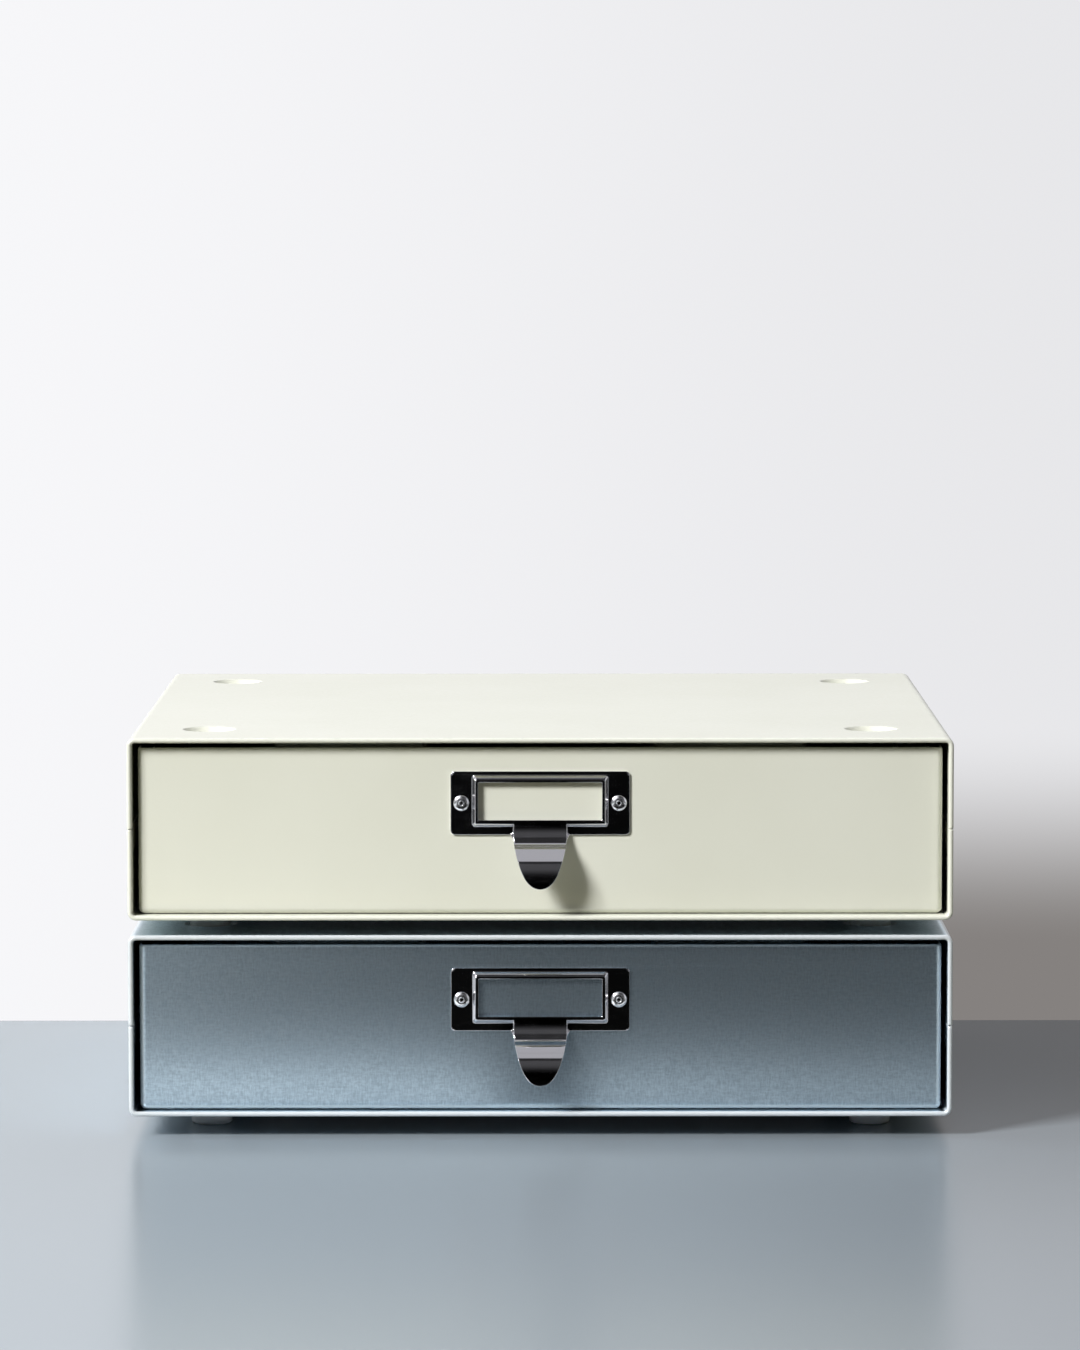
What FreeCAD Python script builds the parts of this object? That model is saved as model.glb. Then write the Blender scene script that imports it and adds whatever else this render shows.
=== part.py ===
"""Two stacking desk drawers in folded sheet steel, one standing on the other.

Each unit is a flat case made of an upper and a lower shell, with one drawer in it.
The drawer has a chrome pull with a label window. Clear feet under a unit stand in
the dimples pressed into the top of the unit below it.

Millimetres. +X is to the right, +Y to the back, +Z up. The origin is the middle of
the whole object's footprint, on the surface that the feet stand on.
"""
import FreeCAD
import Part
import math
import os

V = FreeCAD.Vector

# ---- driving dimensions -------------------------------------------------------
sheet = 1.0                     # steel of the cases and drawers

case_width = 340.0
case_depth = 288.0
case_height = 75.5
case_corner = 3.4               # outside radius where the top and floor turn into the sides
nose_ease = 0.55                # bevel along both edges of the folded front edge
hem_length = 8.0                # front edge folded back on itself
seam_gap = 0.3                  # open line between the upper and lower shell
lap_height = 9.0                # strip of the upper shell behind the seam

back_recess = 2.0               # back panel behind the rear edges of the case
back_flange = 10.0
panel_bend = 1.6                # outside radius of the folds of a flanged panel
corner_relief = 3.0             # open corner where two folds meet

foot_diameter = 17.6
foot_height = 8.7
foot_inset_side = 32.0          # centre of a foot from the side of the case
foot_inset_end = 38.0           # centre of a foot from the front and back edges

dimple_depth = 2.55
dimple_wall_slope = 32.0        # degrees from the vertical
dimple_foot_clearance = 0.6     # around the foot on the dimple's floor

channel_width = 63.0            # stiffening channels under the top
channel_drop = 4.5              # below the underside of the top
channel_flange = 6.0
channel_bend = 1.0              # radius at the middle of the sheet
channel_dimple_gap = 11.0       # between a channel's flange and the dimples beside it
channel_setback = 5.5           # behind the folded front edge of the case
channel_end_gap = 0.5           # above the tab that closes the front end of a channel
lap_end_gap = 0.5               # beyond the ends of the laps and behind the channels

bead_spacing = 150.0            # pressed runners in the floor
bead_width = 12.0
bead_round = 1.6
bead_end_gap = 3.0              # between the runners and the drawer front's flange
drawer_rear_gap = 5.0           # between the closed drawer and the back panel

front_recess = 4.5              # drawer front behind the front edge of the case
front_side_gap = 2.3
front_top_gap = 2.4
front_bottom_gap = 0.35
front_flange = 13.0
front_side_bend = 2.4           # outside radius round the face of the drawer front
front_corner = 2.4              # lower corners of the drawer front
front_hem_height = 9.0          # upper edge folded down behind the front

pan_bend = 1.5                  # radius at the middle of the sheet
pan_hem_height = 7.0
pan_hem_gap = 0.2
pan_top_drop = 7.0              # sides of the drawer below the top of its front

drawer_travel = 200.0           # to where the stop tabs meet the case's hem
stop_clearance = 0.2
stop_length = 14.0
stop_height = 12.0
stop_case_clearance = 0.3
stop_above_floor = 9.0
stop_lance_gap = 0.5            # between a tab and the window it leaves

pull_sheet = 0.8
pull_width = 73.8
pull_height = 26.2
pull_corner = 1.7
pull_edge = 0.25
pull_centre_drop = 27.2         # middle of the plate below the top of the case
frame_width = 56.0              # raised frame around the label window
frame_height = 21.5
frame_corner = 1.9
frame_rise = 2.4
frame_shoulder = 1.5            # slope round the raised frame, as wide as high
frame_lift = 0.9                # frame and window above the middle of the plate
window_width = 51.0
window_height = 15.7
window_corner = 0.5

tongue_width = 22.4
tongue_start_drop = 8.0         # where the tongue leaves the frame, below the plate's middle
tongue_overlap = 1.0            # flat stretch of the tongue that lies in the frame
tongue_lean = 45.0              # degrees that the tongue comes forward
tongue_root_bend = 12.0
tongue_run = 8.5                # straight stretch between its two bends
tongue_knee_bend = 4.0
tongue_lip = 9.0                # straight stretch below the knee
tongue_shoulder_drop = 15.0     # where the tongue starts to narrow
tongue_waist_half = 8.9
tongue_waist_drop = 23.4
tongue_tip_half = 6.4
tongue_tip_drop = 30.4

rivet_spacing = 64.9
rivet_shank = 3.2
rivet_hole_clearance = 0.05
rivet_head = 6.5
rivet_head_edge = 0.25          # thickness of the head at its rim
rivet_dome_rise = 1.05
rivet_dome_steps = 2
rivet_mandrel_hole = 1.3
rivet_mandrel_depth = 0.9
rivet_tail = 4.6
rivet_tail_length = 2.6

# ---- sizes that follow --------------------------------------------------------
rim = 2 * sheet
front_crest = 0.9 * sheet       # rounds the hemmed edge of the drawer front
unit_pitch = case_height + foot_height - dimple_depth
front_width = case_width - 2 * (rim + front_side_gap)
front_bottom = rim + front_bottom_gap
front_top = case_height - rim - front_top_gap
pan_floor = front_bottom + sheet
pan_top = front_top - pan_top_drop
pan_half = front_width / 2 - sheet
pan_front = front_recess + front_side_bend
pan_back = case_depth - back_recess - sheet - drawer_rear_gap
foot_x = case_width / 2 - foot_inset_side
dimple_floor_radius = foot_diameter / 2 + dimple_foot_clearance
dimple_mouth_radius = dimple_floor_radius + dimple_depth * math.tan(math.radians(dimple_wall_slope))
channel_outer_x = foot_x - dimple_mouth_radius - channel_dimple_gap - channel_flange
channel_inner_x = channel_outer_x - channel_width
rear_end = case_depth - back_recess - back_flange - lap_end_gap
bead_front = front_recess + front_flange + bead_end_gap
bead_back = case_depth - back_recess - back_flange - bead_end_gap
pull_centre = case_height - pull_centre_drop
lean = math.radians(tongue_lean)
tongue_reach = (frame_rise + (tongue_root_bend + tongue_knee_bend) * (1 - math.cos(lean))
                + tongue_run * math.sin(lean))
tongue_drop = (tongue_start_drop + (tongue_root_bend + tongue_knee_bend) * math.sin(lean)
               + tongue_run * math.cos(lean) + tongue_lip)
whole_depth = case_depth + tongue_reach - front_recess
case_front_y = whole_depth / 2 - case_depth

past = 1.0                      # cutting shapes run past the faces they open by this
touch = 1e-6                    # faces this close lie in one plane


# ---- helpers ------------------------------------------------------------------
def block(x0, x1, y0, y1, z0, z1):
    return Part.makeBox(x1 - x0, y1 - y0, z1 - z0, V(x0, y0, z0))


def mirrored(shape):
    """The same shape on the other side of the middle."""
    return shape.mirror(V(0, 0, 0), V(1, 0, 0))


def rounded_prism(width, height, corner, y0, y1, mid_z):
    """A bar along Y with a rounded rectangle as its section."""
    bar = block(-width / 2, width / 2, y0, y1, mid_z - height / 2, mid_z + height / 2)
    along = edges_where(bar, lambda b: b.YLength > y1 - y0 - touch)
    return bar.makeFillet(corner, along)


def edges_where(shape, test):
    """Edges whose bounding box passes the test."""
    return [e for e in shape.Edges if test(e.BoundBox)]


def folded_sheet(start, heading, folds, thickness, place, along):
    """A folded sheet of even thickness.

    The middle of the sheet starts at a point of a plane and goes the way of heading,
    in degrees. Each fold is (run, turn in degrees, radius): straight on for run, then
    round the turn. place lifts a point of the plane into space, and the section is
    drawn out along the last vector.
    """
    u, v = start
    angle = math.radians(heading)
    half = thickness / 2
    left, right = [], []

    def side(a, b, way, offset):
        return V(a - math.sin(way) * offset, b + math.cos(way) * offset, 0)

    for run, turn, radius in folds:
        ahead = (u + math.cos(angle) * run, v + math.sin(angle) * run)
        for edge_list, offset in ((left, half), (right, -half)):
            edge_list.append([side(u, v, angle, offset), side(*ahead, angle, offset)])
        u, v = ahead
        if not turn:
            continue
        sense = math.copysign(1.0, turn)
        centre = (u - math.sin(angle) * radius * sense, v + math.cos(angle) * radius * sense)
        sweep = math.radians(turn)
        stops = [(angle + sweep * part, centre) for part in (0, 0.5, 1)]
        arc_points = [(c[0] + math.sin(a) * radius * sense, c[1] - math.cos(a) * radius * sense, a)
                      for a, c in stops]
        for edge_list, offset in ((left, half), (right, -half)):
            edge_list.append([side(p, q, a, offset) for p, q, a in arc_points])
        u, v, angle = arc_points[2]

    def edge(points):
        placed = [place(p.x, p.y) for p in points]
        return Part.Arc(*placed).toShape() if len(placed) == 3 else Part.LineSegment(*placed).toShape()

    outline = [edge(p) for p in left] + [edge(p) for p in right]
    outline.append(edge([left[0][0], right[0][0]]))
    outline.append(edge([left[-1][-1], right[-1][-1]]))
    wire = Part.Wire(Part.__sortEdges__(outline))
    return Part.Face(wire).extrude(along)


def flanged_panel(width, low, high, depth, top_flange=True):
    """A flat panel folded forward along its edges: its back lies at y = 0."""
    half = width / 2
    crest = high if top_flange else high + 2 * panel_bend
    outer = block(-half, half, -depth, 0, low, crest)
    outer = outer.makeFillet(panel_bend, edges_where(outer, lambda b: b.YMin > -touch))
    inner = block(sheet - half, half - sheet, -depth - past, -sheet, low + sheet, crest - sheet)
    rear = edges_where(inner, lambda b: b.YMin > -sheet - touch)
    panel = outer.cut(inner.makeFillet(panel_bend - sheet, rear))
    for z0, z1 in ((low - past, low + corner_relief), (crest - corner_relief, crest + past)):
        notch = block(half - corner_relief, half + past, -depth - past, past, z0, z1)
        panel = panel.cut(notch).cut(mirrored(notch))
    return panel.common(block(-width, width, -depth - past, past, low - past, high))


# ---- the case -----------------------------------------------------------------
def case_tube():
    """Both shells of the case in one: an open tube with its front edge folded in."""
    outer = rounded_prism(case_width, case_height, case_corner, 0, case_depth, case_height / 2)
    bore = rounded_prism(case_width - 2 * sheet, case_height - 2 * sheet, case_corner - sheet,
                         hem_length, case_depth + past, case_height / 2)
    mouth = rounded_prism(case_width - 2 * rim, case_height - 2 * rim, case_corner - rim,
                          -past, hem_length + past, case_height / 2)
    tube = outer.cut(bore).cut(mouth)
    nose = edges_where(tube, lambda b: b.YMax < touch)
    return tube.makeChamfer(nose_ease, nose)


def foot_places():
    """Centres of the four feet, by name."""
    ends = {"front": foot_inset_end, "back": case_depth - foot_inset_end}
    sides = {"left": -foot_x, "right": foot_x}
    return {f"{end}_{hand}": (sides[hand], ends[end]) for end in ends for hand in sides}


def dimple(offset):
    """The hollow of one dimple, grown by offset all round."""
    slope = math.radians(dimple_wall_slope)
    floor_z = case_height - dimple_depth - offset
    floor_r = dimple_floor_radius + offset * math.tan((math.pi / 2 - slope) / 2)
    rise = case_height + past - floor_z
    return Part.makeCone(floor_r, floor_r + rise * math.tan(slope), rise, V(0, 0, floor_z))


def upper_shell(tube):
    """Top and upper half of the sides, with the dimples and the strip behind the seam."""
    seam_z = case_height / 2
    shell = tube.common(block(-case_width, case_width, -past, case_depth + past,
                              seam_z + seam_gap / 2, case_height + past))
    lap = block(case_width / 2 - rim, case_width / 2 - sheet, hem_length + lap_end_gap, rear_end,
                seam_z - lap_height, seam_z + seam_gap / 2 + sheet)
    shell = shell.fuse([lap, mirrored(lap)])
    reach = foot_diameter
    below_top = block(-reach, reach, -reach, reach, 0, case_height - sheet / 2)
    under = dimple(sheet).common(below_top)
    for x, y in foot_places().values():
        at = V(x, y, 0)
        shell = shell.fuse(under.translated(at))
        shell = shell.cut(dimple(0).translated(at))
    return shell.removeSplitter()


def lower_shell(tube):
    """Floor and lower half of the sides, with the pressed runners under the drawer."""
    seam_z = case_height / 2
    shell = tube.common(block(-case_width, case_width, -past, case_depth + past,
                              -past, seam_z - seam_gap / 2))
    half = bead_width / 2
    for x in (-bead_spacing / 2, bead_spacing / 2):
        rib = block(x - half, x + half, bead_front, bead_back, 0, pan_floor)
        rib = rib.makeFillet(bead_round, edges_where(rib, lambda b: b.ZMin > pan_floor - touch))
        hollow = block(x - half + sheet, x + half - sheet, bead_front + sheet,
                       bead_back - sheet, -past, pan_floor - sheet)
        shell = shell.fuse(rib).cut(hollow)
    return shell.removeSplitter()


def back_panel():
    """Panel with four flanges that closes the back of the case."""
    panel = flanged_panel(case_width - 2 * sheet, sheet, case_height - sheet, back_flange)
    return panel.translated(V(0, case_depth - back_recess, 0))


def channel():
    """One hat-shaped stiffener under the top, on the right, its front end folded shut."""
    turn = 90
    leg = channel_drop - sheet - 2 * channel_bend
    web = channel_outer_x - channel_inner_x - sheet - 2 * channel_bend
    folds = [(channel_flange, -turn, channel_bend), (leg, turn, channel_bend),
             (web, turn, channel_bend), (leg, -turn, channel_bend), (channel_flange, 0, 0)]
    under_top = case_height - sheet
    y0 = hem_length + channel_setback + sheet / 2 + channel_bend
    start = (channel_inner_x + sheet / 2 - channel_bend - channel_flange, under_top - sheet / 2)
    hat = folded_sheet(start, 0, folds, sheet, lambda u, v: V(u, y0, v), V(0, rear_end - y0, 0))
    web_mid = under_top - channel_drop + sheet / 2
    tab_folds = [(sheet, -turn, channel_bend),
                 (under_top - channel_end_gap - web_mid - channel_bend, 0, 0)]
    web_left = channel_inner_x + sheet / 2 + channel_bend
    tab = folded_sheet((y0 + sheet, web_mid), 180, tab_folds, sheet,
                       lambda u, v: V(web_left, u, v), V(web, 0, 0))
    return hat.fuse(tab).removeSplitter()


def foot():
    """A clear round foot, its top against the floor of the case."""
    return Part.makeCylinder(foot_diameter / 2, foot_height, V(0, 0, -foot_height))


# ---- the drawer ---------------------------------------------------------------
def pull_holes(radius):
    """Two cylinders along Y on the centres of the rivets."""
    reach = tongue_reach
    return [Part.makeCylinder(radius, 2 * reach, V(x, out(reach), pull_centre), V(0, 1, 0))
            for x in (-rivet_spacing / 2, rivet_spacing / 2)]


def front_block(inset, top, back):
    """The drawer front as a solid block, grown inwards by inset and rounded round its face."""
    half = front_width / 2 - inset
    low = front_bottom + inset
    face = front_recess + inset
    bar = block(-half, half, face, back, low, top)
    if not inset:
        low_sides = edges_where(bar, lambda b: b.YLength > sheet and b.ZMax < low + touch)
        bar = bar.makeFillet(front_corner, low_sides)
    round_face = edges_where(bar, lambda b: b.YMax < face + touch and b.ZMin < front_top / 2)
    return bar.makeFillet(front_side_bend - inset, round_face)


def drawer_front():
    """Front panel: side and bottom flanges folded back, upper edge hemmed."""
    back = front_recess + front_flange
    inner = front_block(sheet, front_top + past, back + past)
    panel = front_block(0, front_top, back).cut(inner)
    hem_half = front_width / 2 - front_side_bend
    hem = block(-hem_half, hem_half, front_recess + sheet / 2, front_recess + rim,
                front_top - front_hem_height, front_top)
    panel = panel.fuse(hem)
    crest = edges_where(panel, lambda b: b.ZMin > front_top - touch and b.XLength > hem_half)
    panel = panel.makeFillet(front_crest, crest)
    notch = block(front_width / 2 - corner_relief, front_width / 2 + past,
                  front_recess + front_side_bend + sheet, back + past,
                  front_bottom - past, front_bottom + corner_relief)
    panel = panel.cut(notch).cut(mirrored(notch))
    for hole in pull_holes(rivet_shank / 2 + rivet_hole_clearance):
        panel = panel.cut(hole)
    return panel.removeSplitter()


def stop_tab():
    """Springy tab lanced out of the right-hand side: its free end faces forward."""
    reach = case_width / 2 - sheet - stop_case_clearance - pan_half
    angle = math.degrees(math.asin(reach / stop_length))
    rear_y = hem_length + drawer_travel + stop_clearance + math.sqrt(stop_length**2 - reach**2)
    z0 = pan_floor + stop_above_floor
    folds = [(stop_length, 0, 0)]
    return folded_sheet((pan_half - sheet / 2, rear_y), -90 + angle, folds, sheet,
                        lambda u, v: V(u, v, z0), V(0, 0, stop_height))


def drawer_pan():
    """Floor and sides of the drawer in one folded sheet, with hemmed upper edges."""
    hem_bend = (sheet + pan_hem_gap) / 2
    mid_x = pan_half - sheet / 2
    side = pan_top - sheet / 2 - hem_bend - (pan_floor + sheet / 2) - pan_bend
    hem_run = pan_hem_height - sheet / 2 - hem_bend
    floor = 2 * mid_x - 2 * pan_bend
    folds = [(hem_run, 180, hem_bend), (side, 90, pan_bend), (floor, 90, pan_bend),
             (side, 180, hem_bend), (hem_run, 0, 0)]
    start = (-mid_x + 2 * hem_bend, pan_floor + sheet / 2 + pan_bend + side - hem_run)
    pan = folded_sheet(start, 90, folds, sheet, lambda u, v: V(u, pan_front, v),
                       V(0, pan_back - pan_front, 0))
    tab = stop_tab()
    reach = tab.BoundBox
    window = block(pan_half - 2 * sheet, pan_half + past,
                   reach.YMin - 2 * stop_lance_gap, reach.YMax - sheet,
                   reach.ZMin - stop_lance_gap, reach.ZMax + stop_lance_gap)
    for lance, gap in ((tab, window), (mirrored(tab), mirrored(window))):
        pan = pan.cut(gap).fuse(lance)
    return pan.removeSplitter()


def drawer_back():
    """Back wall of the drawer, flanged, standing on the pan's floor."""
    width = 2 * (pan_half - sheet)
    panel = flanged_panel(width, pan_floor + sheet, pan_top, back_flange, top_flange=False)
    hem_room = block(width / 2 - sheet - 2 * pan_hem_gap, width / 2 + past,
                     -back_flange - past, past, pan_top - pan_hem_height - sheet, pan_top + past)
    panel = panel.cut(hem_room).cut(mirrored(hem_room))
    return panel.translated(V(0, pan_back, 0))


# ---- the pull -----------------------------------------------------------------
def out(distance):
    """Y of a point that far in front of the drawer front."""
    return front_recess - distance


def tongue_outline():
    """The tongue seen from the front, as a thick block."""
    half = tongue_width / 2
    top = pull_centre - tongue_start_drop + 2 * tongue_overlap

    def at(x, drop):
        return V(x, 0, pull_centre - drop)

    right = [at(half, tongue_shoulder_drop), at(tongue_waist_half, tongue_waist_drop),
             at(tongue_tip_half, tongue_tip_drop)]
    left = [V(-p.x, 0, p.z) for p in reversed(right)]
    curve = Part.BSplineCurve()
    curve.interpolate(right + [at(0, tongue_drop)] + left,
                      InitialTangent=V(0, 0, -1), FinalTangent=V(0, 0, 1))
    corners = [left[-1], V(-half, 0, top), V(half, 0, top), right[0]]
    sides = [Part.LineSegment(a, b).toShape() for a, b in zip(corners, corners[1:])]
    wire = Part.Wire(Part.__sortEdges__([curve.toShape()] + sides))
    depth = tongue_reach + 2 * past
    return Part.Face(wire).extrude(V(0, -depth, 0)).translated(V(0, out(-past), 0))


def tongue_strip(x0, x1, thickness, drawn_back):
    """The folded tongue between two x, its outside face where it always is."""
    middle = frame_rise - drawn_back
    start_z = pull_centre - tongue_start_drop + tongue_overlap
    folds = [(tongue_overlap, tongue_lean, tongue_root_bend + drawn_back),
             (tongue_run, -tongue_lean, tongue_knee_bend - drawn_back), (tongue_lip, 0, 0)]
    return folded_sheet((middle, start_z), -90, folds, thickness,
                        lambda u, v: V(x0, out(u), v), V(x1 - x0, 0, 0))


def raised_block(width, height, corner, rise, slope, back, mid_z):
    """A rounded bar in front of the drawer front, its face edged by a slope at 45 degrees."""
    bar = rounded_prism(width, height, corner, out(rise), out(back), mid_z)
    return bar.makeChamfer(slope, edges_where(bar, lambda b: b.YMax < out(rise) + touch))


def label_pull():
    """One stamping: plate, raised frame round the window, and the tongue below it."""
    frame_z = pull_centre + frame_lift
    plate = raised_block(pull_width, pull_height, pull_corner, pull_sheet, pull_edge, 0,
                         pull_centre)
    frame = raised_block(frame_width, frame_height, frame_corner, frame_rise, frame_shoulder, 0,
                         frame_z)
    half = tongue_width / 2
    strip = tongue_strip(-half, half, pull_sheet, pull_sheet / 2)
    strip = strip.common(tongue_outline())

    plate_low = pull_centre - pull_height / 2
    web_top = frame_z - frame_height / 2 + frame_shoulder + pull_sheet
    far = out(tongue_reach + past)
    filled = tongue_strip(-half, -half + pull_sheet, 2 * frame_rise, frame_rise)
    cheek = filled.common(block(-half, -half + pull_sheet, far, out(0),
                                plate_low - frame_rise, web_top))
    ramp = Part.makeBox(half, half, half, V(-half - past, out(0), plate_low))
    ramp.rotate(V(0, out(pull_sheet), plate_low), V(1, 0, 0), 135)
    cheek = cheek.cut(ramp)

    body = plate.fuse([frame, strip, cheek, mirrored(cheek)])
    pocket_rise = frame_rise - pull_sheet
    pocket_inset = math.sqrt(2) * pull_sheet - (frame_rise - frame_shoulder)
    pocket = raised_block(frame_width - 2 * pocket_inset, frame_height - 2 * pocket_inset,
                          frame_corner - pocket_inset, pocket_rise, pocket_rise, -past, frame_z)
    window = rounded_prism(window_width, window_height, window_corner, far, out(-past), frame_z)
    throat = block(-half + pull_sheet, half - pull_sheet, out(pocket_rise), out(-past),
                   plate_low - past, web_top)
    body = body.cut(pocket).cut(window).cut(throat)
    for hole in pull_holes(rivet_shank / 2 + rivet_hole_clearance):
        body = body.cut(hole)
    return body.removeSplitter()


def rivet():
    """A blind rivet with a low domed head, drawn along Z with its head upwards."""
    head_r = rivet_head / 2
    shank_r = rivet_shank / 2
    tail_r = rivet_tail / 2
    grip = sheet + pull_sheet
    tail_low = -grip - rivet_tail_length
    dome = [V(head_r * math.cos(a), 0, rivet_head_edge + rivet_dome_rise * math.sin(a))
            for a in (math.radians(step * 90 / rivet_dome_steps) for step in range(rivet_dome_steps))]
    hole_r = rivet_mandrel_hole / 2
    crown_z = rivet_head_edge + rivet_dome_rise
    points = [V(0, 0, tail_low), V(tail_r, 0, tail_low), V(tail_r, 0, -grip),
              V(shank_r, 0, -grip), V(shank_r, 0, 0), V(head_r, 0, 0)] + dome
    points += [V(hole_r, 0, crown_z), V(hole_r, 0, crown_z - rivet_mandrel_depth),
               V(0, 0, crown_z - rivet_mandrel_depth), V(0, 0, tail_low)]
    return Part.Face(Part.makePolygon(points)).revolve(V(0, 0, 0), V(0, 0, 1), 360)


def rivet_pair():
    """Both rivets of a pull."""
    one = rivet().rotated(V(0, 0, 0), V(1, 0, 0), 90)
    placed = [one.translated(V(x, out(pull_sheet), pull_centre))
              for x in (-rivet_spacing / 2, rivet_spacing / 2)]
    return Part.makeCompound(placed)


# ---- assembly -----------------------------------------------------------------
def unit_pieces():
    """Every piece of one unit, by name, in the unit's own frame."""
    tube = case_tube()
    right_channel = channel()
    pieces = {
        "case_upper_shell": upper_shell(tube),
        "case_lower_shell": lower_shell(tube),
        "case_back_panel": back_panel(),
        "stiffener_right": right_channel,
        "stiffener_left": mirrored(right_channel),
        "drawer_front": drawer_front(),
        "drawer_pan": drawer_pan(),
        "drawer_back": drawer_back(),
        "label_pull": label_pull(),
        "pull_rivets": rivet_pair(),
    }
    for name, (x, y) in foot_places().items():
        pieces[f"foot_{name}"] = foot().translated(V(x, y, 0))
    return pieces


os.makedirs("parts", exist_ok=True)
for unit, level in (("lower", 0), ("upper", 1)):
    lift = V(0, case_front_y, foot_height + level * unit_pitch)
    for name, piece in unit_pieces().items():
        piece.translated(lift).exportStep(f"parts/{unit}_{name}.step")
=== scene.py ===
"""Looks of two stacking desk drawers in folded sheet steel, a cream one on a blue-grey one,
each with a chrome label pull. Places are in metres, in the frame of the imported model; the
sizes of the pull, the rivets, the feet and the rounded edges are in mm."""
import math

import bmesh
import bpy
from mathutils import Matrix, Vector


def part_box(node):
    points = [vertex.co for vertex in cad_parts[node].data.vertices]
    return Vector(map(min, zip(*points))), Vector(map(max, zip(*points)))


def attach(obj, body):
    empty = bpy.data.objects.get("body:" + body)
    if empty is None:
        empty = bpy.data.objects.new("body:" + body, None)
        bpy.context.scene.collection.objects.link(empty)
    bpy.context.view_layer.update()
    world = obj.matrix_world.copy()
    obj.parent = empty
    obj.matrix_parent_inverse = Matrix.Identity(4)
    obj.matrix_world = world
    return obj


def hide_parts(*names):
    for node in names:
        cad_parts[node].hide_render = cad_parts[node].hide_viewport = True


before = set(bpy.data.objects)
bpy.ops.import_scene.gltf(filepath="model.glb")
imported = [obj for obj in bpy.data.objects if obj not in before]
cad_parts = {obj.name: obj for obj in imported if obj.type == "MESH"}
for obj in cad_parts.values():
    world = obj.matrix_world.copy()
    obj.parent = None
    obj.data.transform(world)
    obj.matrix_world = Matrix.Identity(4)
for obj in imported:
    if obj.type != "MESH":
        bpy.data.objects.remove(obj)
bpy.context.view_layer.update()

MM = 0.001
CASE_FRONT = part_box("upper_case_upper_shell")[0].y

# ---- camera -------------------------------------------------------------------
CAMERA_PLACE = Vector((4.48, -2425.96, 404.40)) * MM
CAMERA_DOWN = 0.09266           # radians below the horizontal
CAMERA_YAW = 0.00196            # radians, and so is the roll
CAMERA_ROLL = -0.00086
LENS = 149.29                   # mm
FILM = 36.0                     # mm, the long side
CAMERA_CLIP = (0.05, 50.0)

# ---- lamp ---------------------------------------------------------------------
KEY_LEVEL = 0.82                # its light on the drawer fronts
KEY_WAY = Vector((-1.15, -1.0, 1.1))    # from where it aims, at the drawer fronts
KEY_DISTANCE = 4.6
KEY_SIZE = 1.2
KEY_AIM = Vector((0, -0.13, 0.09))

# ---- world ----------------------------------------------------------------------
# Pairs named _ACROSS, _DEPTH, _RISE and _FALL are the x, y, z and z of a unit vector between
# which one level turns into the next, and _OUT is x to either side.
# Even light on dull faces:
AMBIENT = (0.26, 0.85)          # from the front and from behind
AMBIENT_DEPTH = (-0.4, 0.4)
AMBIENT_LOW = 0.03              # share of it at the horizon and below
AMBIENT_RISE = (0.05, 0.60)
AMBIENT_TOP = 0.50              # share of it overhead
AMBIENT_FALL = (0.5, 0.8)
AMBIENT_RIGHT = 1.0             # share added from the right and behind
RIGHT_ACROSS = (0.3, 0.8)
RIGHT_DEPTH = (-0.05, 0.25)
AMBIENT_WARM = (1, 0.98, 0.50, 1)       # low
AMBIENT_WHITE = (0.97, 0.97, 1.18, 1)   # and high
TINT_RISE = (0.20, 0.75)
# What shiny faces see of the room:
ROOM_LOW = (0.33, 0.01)         # in front and low, at the left and at the right
ROOM_HIGH = (1.0, 0.05)         # in front and high
ROOM_ACROSS = (-0.38, 0.14)
ROOM_RISE = (0.12, 0.35)
ROOM_SIDE = (0.30, 0.75)        # beside the object, at the left and at the right
SIDE_ACROSS = (-0.1, 0.1)
SIDE_OUT = (0.55, 0.85)
ROOM_OVER = 0.55                # overhead
OVER_DEPTH = (-0.30, -0.14)
ROOM_BACK = 1.1                 # behind
BACK_DEPTH = (-0.04, 0.25)
SHELF = 0.085                   # a grey band low in front
SHELF_RISE = (-0.02, 0.20)
SHELF_HIGH = 0.4                # share of it above the band
SHELF_FALL = (0.42, 0.58)
FLAG_OUT = (0.03, 0.08)         # a dark flag hides the middle of the front
ROOM_LEAST = 0.004
ROOM_TINT = (0.94, 0.95, 1.0, 1)
BACKGROUND = (0.86, 0.87, 0.88, 1)      # what the camera sees past the stage

# ---- stage ----------------------------------------------------------------------
STAGE_REACH = 6.0
WALL_HEIGHT = 4.0
WALL_Y = 0.1745
# the backdrop's colour is painted light: a painted falloff, paler at the left, and a painted shadow
WALL_LEFT = (0.93, 0.93, 0.95, 1)
WALL_RIGHT = (0.80, 0.80, 0.82, 1)
WALL_ACROSS = (-0.30, 0.30)
WALL_PAINTED_SHADOW = (0.235, 0.22, 0.212, 1)   # painted shadow, low on the wall, from behind the drawers to the right
WALL_PAINTED_SHADOW_X = (-0.19, -0.10)
WALL_PAINTED_SHADOW_Z = (0.14, 0.035)
# the floor's colour darkens towards the right: painted shade
FLOOR_LEFT = (0.30, 0.345, 0.38, 1)
FLOOR_RIGHT = (0.22, 0.25, 0.275, 1)
FLOOR_ACROSS = (-0.05, 0.22)
FLOOR_ROUGHNESS = 0.25
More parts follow.
